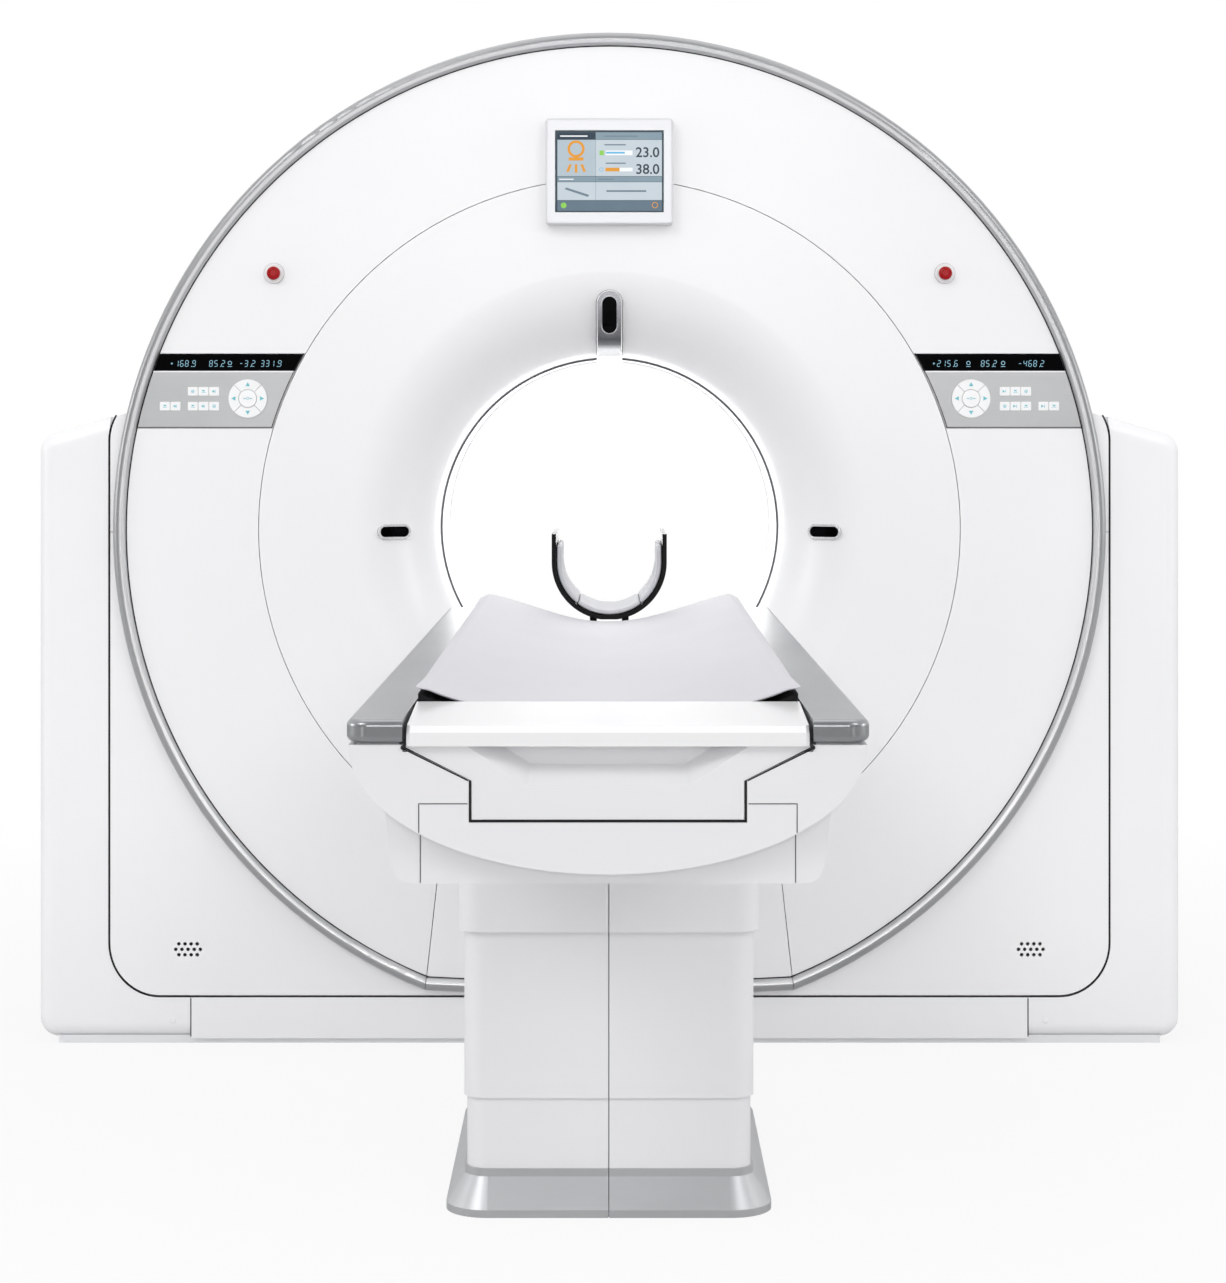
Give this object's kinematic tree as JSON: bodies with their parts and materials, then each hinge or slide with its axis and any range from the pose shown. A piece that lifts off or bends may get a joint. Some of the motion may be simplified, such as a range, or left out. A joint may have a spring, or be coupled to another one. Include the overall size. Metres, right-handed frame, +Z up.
{
  "type": "ct scanner",
  "caption": "Tilting CT scanner: round gantry with a wide bore between two side towers, spinning rotor inside, lifting patient table with sliding cradle and head holder.",
  "frame": {"origin": "on the floor, straight under the isocentre, where the bore axis and the tilt axis cross", "axes": "+Z up, +Y along the bore from the table through to the back of the gantry, +X to the right as seen from the table's front end"},
  "size_m": [2.31, 3.257, 2.042],
  "materials": {
    "white_cover": "satin white paint",
    "silver_trim": "satin silver paint",
    "brushed_plate": "brushed",
    "rail_aluminium": "satin anodised",
    "black_gloss": "gloss black",
    "screen": "screen glass",
    "key_silver": "satin",
    "stop_red": "gloss red",
    "steel": "grey powder coat",
    "bright_steel": "machined",
    "cast": "cast",
    "bronze": "bronze bush",
    "belt": "ribbed",
    "liner": "satin",
    "carbon": "carbon fibre laminate",
    "mattress_cover": "coated fabric",
    "pad_foam": "coated foam",
    "roller_rubber": "polyurethane"
  },
  "bodies": {
    "base": {"gantry_base_frame": "steel", "tilt_bearings": "bronze", "tilt_gearmotor": "steel", "tower_cover_right": "white_cover", "tower_cover_left": "white_cover", "base_covers": "white_cover", "table_base": "steel", "base_skirt": "rail_aluminium", "lower_sleeve": "white_cover"},
    "gantry": {"gantry_frame": "steel", "bearing_race": "bright_steel", "drive_motor": "steel", "drive_belt": "belt", "brush_block": "carbon", "upper_shell": "white_cover", "lower_shell": "white_cover", "trim_ring": "silver_trim", "front_panel": "white_cover", "lower_front_panel": "white_cover", "front_funnel": "white_cover", "scan_window": "liner", "rear_cover": "white_cover", "control_plates": "brushed_plate", "readout_glasses": "black_gloss", "monitor_housing": "silver_trim", "monitor_screen": "screen", "optics_housings": "silver_trim", "optics_windows": "black_gloss"},
    "rotor": {"rotor_drum": "cast", "slip_ring": "bright_steel", "xray_tube": "steel", "detector": "bright_steel", "hv_generator": "steel", "tube_cooler": "steel"},
    "pulley": {"motor_pulley": "bright_steel"},
    "table": {"saddle_frame": "steel", "upper_sleeve": "white_cover", "belly_cover": "white_cover", "table_hull": "white_cover", "side_rails": "rail_aluminium"},
    "middle": {"middle_stage": "white_cover"},
    "roller": {"support_roller": "roller_rubber"},
    "cradle": {"cradle": "carbon", "end_piece": "white_cover", "carriage": "white_cover", "mattress": "mattress_cover", "head_holder": "carbon", "head_pads": "pad_foam"},
    "dial_key_up_right": {"dial_key_up_right": "key_silver"},
    "dial_key_inner_right": {"dial_key_inner_right": "key_silver"},
    "dial_key_down_right": {"dial_key_down_right": "key_silver"},
    "dial_key_outer_right": {"dial_key_outer_right": "key_silver"},
    "dial_key_up_left": {"dial_key_up_left": "key_silver"},
    "dial_key_inner_left": {"dial_key_inner_left": "key_silver"},
    "dial_key_down_left": {"dial_key_down_left": "key_silver"},
    "dial_key_outer_left": {"dial_key_outer_left": "key_silver"},
    "dial_centre_right": {"dial_centre_right": "key_silver"},
    "dial_centre_left": {"dial_centre_left": "key_silver"},
    "estop_right": {"estop_right": "stop_red"},
    "estop_left": {"estop_left": "stop_red"}
  },
  "joints": [
    {"name": "gantry_tilt", "type": "hinge", "parent": "base", "child": "gantry", "pos_m": [0, 0, 1.04], "axis": [-1, 0, 0], "range_deg": [-30, 30]},
    {"name": "rotor_spin", "type": "hinge", "parent": "gantry", "child": "rotor", "pos_m": [0, 0, 1.04], "axis": [0, 1, 0], "continuous": true},
    {"name": "pulley_spin", "type": "hinge", "parent": "gantry", "child": "pulley", "pos_m": [0.764, 0, 0.276], "axis": [0, 1, 0], "continuous": true},
    {"name": "table_lift", "type": "slide", "parent": "base", "child": "table", "axis": [0, 0, 1], "range_m": [-0.34, 0.08]},
    {"name": "middle_lift", "type": "slide", "parent": "base", "child": "middle", "axis": [0, 0, 1], "range_m": [-0.11, 0.0259]},
    {"name": "cradle_slide", "type": "slide", "parent": "table", "child": "cradle", "axis": [0, 1, 0], "range_m": [0, 1.75]},
    {"name": "roller_spin", "type": "hinge", "parent": "table", "child": "roller", "pos_m": [0, -0.69, 0.8135], "axis": [-1, 0, 0], "continuous": true},
    {"name": "dial_key_up_right_press", "type": "slide", "parent": "gantry", "child": "dial_key_up_right", "axis": [0, 1, 0], "range_m": [0, 0.0015], "stiffness_N_per_m": 600, "springref_m": -0.001},
    {"name": "dial_key_inner_right_press", "type": "slide", "parent": "gantry", "child": "dial_key_inner_right", "axis": [0, 1, 0], "range_m": [0, 0.0015], "stiffness_N_per_m": 600, "springref_m": -0.001},
    {"name": "dial_key_down_right_press", "type": "slide", "parent": "gantry", "child": "dial_key_down_right", "axis": [0, 1, 0], "range_m": [0, 0.0015], "stiffness_N_per_m": 600, "springref_m": -0.001},
    {"name": "dial_key_outer_right_press", "type": "slide", "parent": "gantry", "child": "dial_key_outer_right", "axis": [0, 1, 0], "range_m": [0, 0.0015], "stiffness_N_per_m": 600, "springref_m": -0.001},
    {"name": "dial_key_up_left_press", "type": "slide", "parent": "gantry", "child": "dial_key_up_left", "axis": [0, 1, 0], "range_m": [0, 0.0015], "stiffness_N_per_m": 600, "springref_m": -0.001},
    {"name": "dial_key_inner_left_press", "type": "slide", "parent": "gantry", "child": "dial_key_inner_left", "axis": [0, 1, 0], "range_m": [0, 0.0015], "stiffness_N_per_m": 600, "springref_m": -0.001},
    {"name": "dial_key_down_left_press", "type": "slide", "parent": "gantry", "child": "dial_key_down_left", "axis": [0, 1, 0], "range_m": [0, 0.0015], "stiffness_N_per_m": 600, "springref_m": -0.001},
    {"name": "dial_key_outer_left_press", "type": "slide", "parent": "gantry", "child": "dial_key_outer_left", "axis": [0, 1, 0], "range_m": [0, 0.0015], "stiffness_N_per_m": 600, "springref_m": -0.001},
    {"name": "dial_centre_right_press", "type": "slide", "parent": "gantry", "child": "dial_centre_right", "axis": [0, 1, 0], "range_m": [0, 0.0015], "stiffness_N_per_m": 600, "springref_m": -0.001},
    {"name": "dial_centre_left_press", "type": "slide", "parent": "gantry", "child": "dial_centre_left", "axis": [0, 1, 0], "range_m": [0, 0.0015], "stiffness_N_per_m": 600, "springref_m": -0.001},
    {"name": "estop_right_press", "type": "slide", "parent": "gantry", "child": "estop_right", "axis": [0, 1, 0], "range_m": [0, 0.004], "stiffness_N_per_m": 1500, "springref_m": -0.001},
    {"name": "estop_left_press", "type": "slide", "parent": "gantry", "child": "estop_left", "axis": [0, 1, 0], "range_m": [0, 0.004], "stiffness_N_per_m": 1500, "springref_m": -0.001}
  ],
  "couplings": [
    {"joint": "pulley_spin", "follows": "rotor_spin", "ratio": 19.556},
    {"joint": "middle_lift", "follows": "table_lift", "ratio": 0.3235}
  ]
}
